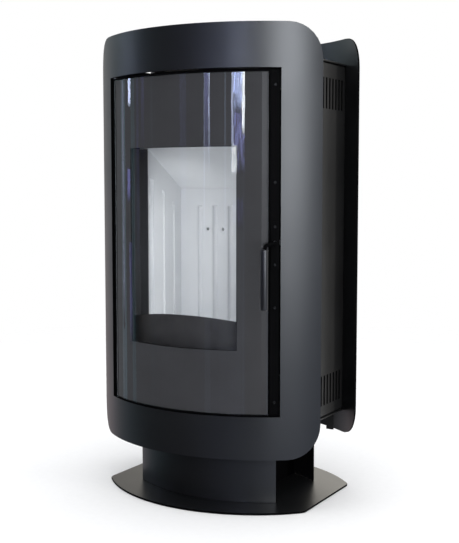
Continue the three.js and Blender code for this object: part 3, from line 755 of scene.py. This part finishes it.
low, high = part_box("door_glass")
piece(
    "glass_print",
    bowed_ring(
        PRINT_RADIUS,
        PRINT_THICKNESS,
        PRINT_HALF,
        low.z + 0.0005,
        high.z - 0.0005,
        WINDOW_HALF,
        WINDOW_BOTTOM,
        WINDOW_TOP,
    ),
    "print_black",
    "door",
)
# A thin dead black line round the clear window.
piece(
    "glass_window_dark_line",
    bowed_ring(
        PRINT_RADIUS,
        PRINT_THICKNESS,
        WINDOW_HALF,
        WINDOW_BOTTOM,
        WINDOW_TOP,
        CLEAR_HALF,
        CLEAR_BOTTOM,
        CLEAR_TOP,
    ),
    "matt_black",
    "door",
)
# A strip inside the front sheet that closes the gap under the door, in dead black as painted shade where the gap
# reads dark. It has no window, so its inner half width is 0.
GAP_SHADE_RADIUS, GAP_SHADE_THICKNESS, GAP_SHADE_HALF, GAP_SHADE_BOTTOM, GAP_SHADE_TOP = 0.4085, 0.0015, 31.5, 0.216, 0.2331
piece(
    "doorway_gap_shade",
    bowed_ring(GAP_SHADE_RADIUS, GAP_SHADE_THICKNESS, GAP_SHADE_HALF, GAP_SHADE_BOTTOM, GAP_SHADE_TOP, 0.0, 0.222, 0.228),
    "matt_black",
    "stove",
)

# ---------- stage: pale floor, studio surroundings, lights and camera


FLOOR_Z = -0.0006


def floor():
    """A round pale floor that fades out at its rim."""
    grey, pale = (0.90, 0.90, 0.90), (0.92, 0.92, 0.92)
    bm = bmesh.new()
    bmesh.ops.create_circle(bm, cap_ends=True, segments=96, radius=3.2)
    mesh = mesh_from(bm, "floor")
    material, nodes, output = new_material("floor_paper")
    length = nodes.add("ShaderNodeVectorMath", Vector=nodes.coords())
    length.operation = "LENGTH"
    fade = nodes.ramp(length.outputs["Value"], 1.2, 3.0, 0.0, 1.0)
    grain = nodes.noise(60.0, 3.0)
    paper = nodes.add("ShaderNodeBsdfDiffuse", Color=nodes.blend(nodes.ramp(grain, 0.3, 0.7, 0, 1), grey, pale))
    clear = nodes.add("ShaderNodeBsdfTransparent")
    mix = nodes.add("ShaderNodeMixShader", Fac=fade)
    nodes.tree.links.new(paper.outputs[0], mix.inputs[1])
    nodes.tree.links.new(clear.outputs[0], mix.inputs[2])
    nodes.put(output, "Surface", mix.outputs[0])
    mesh.materials.append(material)
    obj = bpy.data.objects.new("floor", mesh)
    obj.location.z = FLOOR_Z
    bpy.context.scene.collection.objects.link(obj)
    obj.visible_glossy = False


# What shiny surfaces mirror, by compass angle from straight in front (0) to the right (90): pale paper behind
# the stove and a dim room in front of it.
STUDIO = (
    (-180, (1.20, 1.17, 1.08)),
    (-162, (2.24, 2.16, 1.96)),
    (-152, (1.55, 1.48, 1.36)),
    (-143, (0.55, 0.53, 0.49)),
    (-112, (0.58, 0.58, 0.60)),
    (-97, (0.54, 0.65, 0.71)),
    (-82, (0.24, 0.46, 0.55)),
    (-66, (0.07, 0.17, 0.21)),
    (-48, (0.05, 0.055, 0.062)),
    (-22, (0.055, 0.055, 0.062)),
    (0, (0.12, 0.13, 0.17)),
    (30, (0.31, 0.34, 0.42)),
    (64, (0.38, 0.43, 0.54)),
    (100, (0.55, 0.58, 0.63)),
    (140, (1.40, 1.37, 1.25)),
    (165, (1.60, 1.56, 1.43)),
)


# How reflections from below the horizon are tinted on the left and on the right.
LOW_LEFT, LOW_RIGHT = (1.07, 0.91, 0.93), (0.92, 0.97, 1.11)
LOW, HORIZON = -0.25, 0.05  # the rise of a ray where that tint is full, and where it ends


def studio():
    """White to the camera, an even pale dome for soft light, and the room in STUDIO in reflections."""
    world = bpy.data.worlds.new("studio")
    bpy.context.scene.world = world
    world.use_nodes = True
    world.node_tree.nodes.clear()
    nodes = Nodes(world.node_tree)
    link = nodes.tree.links.new
    split = nodes.add("ShaderNodeSeparateXYZ", Vector=nodes.add("ShaderNodeTexCoord").outputs["Generated"])
    turn = nodes.math("ARCTAN2", split.outputs["X"], nodes.math("MULTIPLY", split.outputs["Y"], -1.0))
    ramp = nodes.add("ShaderNodeValToRGB", Fac=nodes.ramp(turn, -math.pi, math.pi, 0.0, 1.0))
    stops = ramp.color_ramp.elements
    while len(stops) < len(STUDIO):
        stops.new(0.5)
    for stop, (degrees, colour) in zip(stops, STUDIO):
        stop.position = (degrees + 180) / 360
        stop.color = (*colour, 1)
    behind = nodes.ramp(split.outputs["Y"], 0.05, 0.35, 0.0, 1.0)
    level = nodes.math("MAXIMUM", nodes.ramp(split.outputs["Z"], LOW, HORIZON, 1.06, 1.0), behind)
    bands = nodes.tree.nodes.new("ShaderNodeTexNoise")
    bands.noise_dimensions = "1D"
    nodes.put(bands, "W", nodes.math("MULTIPLY", turn, 9.0))
    nodes.put(bands, "Detail", 4.0)
    level = nodes.math("MULTIPLY", level, nodes.ramp(bands.outputs["Fac"], 0.35, 0.65, 0.72, 1.28))
    low_tint = nodes.blend(nodes.ramp(turn, -1.0, 0.2, 0.0, 1.0), LOW_LEFT, LOW_RIGHT)
    tint = nodes.blend(nodes.ramp(split.outputs["Z"], LOW, HORIZON, 0.0, 1.0), low_tint, (1.0, 1.0, 1.0))
    colour = nodes.add("ShaderNodeVectorMath")
    colour.operation = "MULTIPLY"
    link(ramp.outputs["Color"], colour.inputs[0])
    link(tint, colour.inputs[1])
    mirrored = nodes.add("ShaderNodeBackground", Color=colour.outputs[0], Strength=level)
    dome = nodes.add("ShaderNodeBackground", Color=(0.97, 0.98, 1, 1), Strength=0.95)
    white = nodes.add("ShaderNodeBackground", Color=(1, 1, 1, 1), Strength=1.0)
    path = nodes.add("ShaderNodeLightPath").outputs
    unlit = nodes.add("ShaderNodeMixShader", Fac=path["Is Glossy Ray"])
    link(dome.outputs[0], unlit.inputs[1])
    link(mirrored.outputs[0], unlit.inputs[2])
    mix = nodes.add("ShaderNodeMixShader", Fac=path["Is Camera Ray"])
    link(unlit.outputs[0], mix.inputs[1])
    link(white.outputs[0], mix.inputs[2])
    nodes.put(nodes.add("ShaderNodeOutputWorld"), "Surface", mix.outputs[0])


def bright_pane(name, radius, start, end, bottom, top, colour, strength, fade, marble):
    """A glowing upright strip of the studio, between two compass angles, that only shiny surfaces see.

    It fades in over the fade height at its foot, and marble adds brighter veins of that strength.
    """
    bm = bmesh.new()
    columns, rows = 8, 24
    heights = [bottom + (top - bottom) * j / rows for j in range(rows + 1)]
    grid = []
    for i in range(columns + 1):
        a = math.radians(start + (end - start) * i / columns)
        grid.append([bm.verts.new((radius * math.sin(a), -radius * math.cos(a), z)) for z in heights])
    for i in range(columns):
        for j in range(rows):
            bm.faces.new([grid[i][j], grid[i + 1][j], grid[i + 1][j + 1], grid[i][j + 1]])
    mesh = mesh_from(bm, name)
    material, nodes, output = new_material(name)
    split = nodes.add("ShaderNodeSeparateXYZ", Vector=nodes.coords())
    rise = nodes.ramp(split.outputs["Z"], bottom, bottom + fade, 0.0, 1.0)
    stretched = nodes.add("ShaderNodeMapping", Vector=nodes.coords())
    stretched.inputs["Scale"].default_value = (1.0, 1.0, 0.42)
    veins = nodes.add("ShaderNodeTexNoise", Vector=stretched.outputs[0], Scale=10.0, Detail=3.0, Distortion=2.2)
    glow = nodes.math("ADD", strength, nodes.ramp(veins.outputs["Fac"], 0.49, 0.54, 0.0, marble))
    light = nodes.add("ShaderNodeEmission", Color=(*colour, 1), Strength=nodes.math("MULTIPLY", glow, rise))
    nodes.put(output, "Surface", light.outputs[0])
    mesh.materials.append(material)
    obj = bpy.data.objects.new(name, mesh)
    bpy.context.scene.collection.objects.link(obj)
    obj.visible_camera = obj.visible_diffuse = obj.visible_transmission = obj.visible_shadow = False


def softbox(name, place, target, width, height, power, colour=(1, 1, 1), shine=True, soft=True):
    """A lamp that faces its target; shine lets shiny surfaces mirror it, and soft lets it light the rest."""
    data = bpy.data.lights.new(name, "AREA")
    data.shape = "RECTANGLE"
    data.size, data.size_y = width, height
    data.energy = power
    data.color = colour
    obj = bpy.data.objects.new(name, data)
    bpy.context.scene.collection.objects.link(obj)
    obj.location = place
    obj.rotation_mode = "QUATERNION"
    obj.rotation_quaternion = (Vector(target) - Vector(place)).to_track_quat("-Z", "Y")
    obj.visible_camera = False
    obj.visible_glossy = shine
    obj.visible_diffuse = soft


CAMERA_AZIMUTH, CAMERA_ELEVATION = math.radians(30.29), math.radians(4.92)
CAMERA_DISTANCE, CAMERA_LENS = 2.5584, 66.71
TARGET_ASIDE, TARGET_HEIGHT = 0.00369, 0.5461


def camera():
    """The camera at the viewing angle, aimed at a point beside the stove's middle."""
    azimuth, elevation = CAMERA_AZIMUTH, CAMERA_ELEVATION
    back = Vector(
        (
            math.sin(azimuth) * math.cos(elevation),
            -math.cos(azimuth) * math.cos(elevation),
            math.sin(elevation),
        )
    )
    target = Vector((math.cos(azimuth), math.sin(azimuth), 0)) * TARGET_ASIDE + Vector((0, 0, TARGET_HEIGHT))
    data = bpy.data.cameras.new("camera")
    data.lens = CAMERA_LENS
    data.clip_start = 0.05
    data.clip_end = 60
    obj = bpy.data.objects.new("camera", data)
    bpy.context.scene.collection.objects.link(obj)
    obj.location = target + back * CAMERA_DISTANCE
    obj.rotation_mode = "QUATERNION"
    obj.rotation_quaternion = back.to_track_quat("Z", "Y")
    bpy.context.scene.camera = obj


WHITE, SKY, DUSK, VIOLET = (0.92, 0.96, 1.0), (0.62, 0.70, 1.0), (0.42, 0.45, 1.0), (0.36, 0.36, 1.0)
TEAL, AZURE = (0.80, 0.97, 1.0), (0.50, 0.60, 1.0)
# Name, first and last compass angle, bottom, top, colour, strength, height of the fade at the foot, strength of
# the veins. Each pane stands a little nearer than the one before, so a later pane covers an earlier one.
PANES = (
    ("pane_dim_side", -80.5, -73.0, -1.5, 1.75, WHITE, 0.10, 0.1, 0.0),
    ("pane_dim_left", -69.0, -53.0, -1.5, 1.75, WHITE, 0.06, 0.1, 0.0),
    ("pane_dim_right", 20.0, 31.0, -1.5, 1.75, WHITE, 0.15, 0.1, 0.0),
    ("pane_above_left", -112.0, -70.0, 1.7, 3.2, TEAL, 1.7, 0.4, 0.0),
    ("pane_main_lower", 11.0, 19.4, 0.83, 1.34, DUSK, 2.6, 0.2, 8.0),
    ("pane_main_upper", 11.0, 19.4, 1.19, 1.75, AZURE, 8.0, 0.14, 32.0),
    ("pane_main_left", 10.4, 11.8, 0.83, 1.75, SKY, 11.0, 0.03, 8.0),
    ("pane_main_right", 17.6, 19.5, 1.06, 1.75, WHITE, 22.0, 0.06, 16.0),
    ("pane_main_foot", 10.6, 14.4, 0.83, 1.0, WHITE, 6.0, 0.02, 9.0),
    ("pane_blob", 11.5, 18.5, 0.50, 0.68, VIOLET, 0.6, 0.08, 1.2),
    ("pane_thin_left", -9.0, -8.3, 0.30, 1.75, SKY, 4.0, 0.6, 0.0),
    ("pane_thin", -8.3, -5.9, 0.82, 1.75, DUSK, 3.4, 0.5, 1.5),
    ("pane_thin_right", -5.9, -4.5, 0.84, 1.75, SKY, 5.5, 0.35, 9.0),
    ("pane_faint_left", -61.5, -58.5, 0.9, 1.75, VIOLET, 0.5, 0.4, 0.3),
    ("pane_faint", -27.0, -22.0, 0.2, 1.75, DUSK, 0.45, 0.5, 0.3),
    ("pane_low_left", -8.7, -4.4, -1.5, 0.3, SKY, 0.35, 0.1, 0.0),
    ("pane_low_right", 3.5, 9.5, -1.5, 0.3, SKY, 0.24, 0.1, 0.0),
    ("pane_faint_edge", -91.0, -89.4, -1.5, 1.75, WHITE, 0.3, 0.1, 0.0),
    ("pane_faint_far", -66.7, -64.3, 0.2, 1.75, VIOLET, 0.35, 0.4, 0.2),
    ("pane_faint_near", -51.6, -50.6, -0.2, 1.75, SKY, 0.25, 0.4, 0.0),
    ("pane_pale", 5.6, 6.8, 0.2, 1.75, SKY, 1.6, 0.5, 0.0),
    ("pane_side", -76.3, -73.3, 1.23, 1.65, SKY, 11.0, 0.03, 5.0),
    ("pane_side_low", -77.6, -74.4, 0.66, 0.86, VIOLET, 3.0, 0.08, 0.0),
    ("pane_side_foot", -76.0, -73.0, -0.2, 0.42, VIOLET, 0.8, 0.2, 0.6),
    ("pane_line", -84.4, -82.4, -0.1, 1.75, SKY, 1.3, 0.3, 0.5),
    ("pane_edge", -95.0, -86.0, -1.5, 1.75, WHITE, 0.2, 0.1, 0.0),
    ("pane_right", 31.0, 34.5, -0.6, 1.75, WHITE, 1.35, 1.5, 0.0),
)
PANE_DISTANCE, PANE_STEP = 4.0, 0.008

floor()
studio()
for i, (name, *pane) in enumerate(PANES):
    bright_pane(name, PANE_DISTANCE - PANE_STEP * i, *pane)
COOL, WARM, PALE = (0.90, 0.945, 1.0), (1.0, 0.98, 0.96), (0.98, 0.99, 1.0)
softbox("key_right", (3.0, -2.6, 1.85), (0.2, -0.15, 0.80), 1.6, 3.2, 188, COOL, soft=False)
softbox("side_fill", (3.4, 0.02, 0.66), (0.25, 0.02, 0.66), 0.35, 1.0, 46, WARM, shine=False)
softbox("overhead", (0.0, -0.2, 3.6), (0, 0, 0), 3.0, 3.0, 58, shine=False)
softbox("fire_fill", (-0.10, -0.11, 0.58), (-0.13, 0.16, 0.58), 0.03, 0.36, 0.172, PALE, shine=False)
camera()
bpy.context.scene.view_settings.view_transform = "Standard"
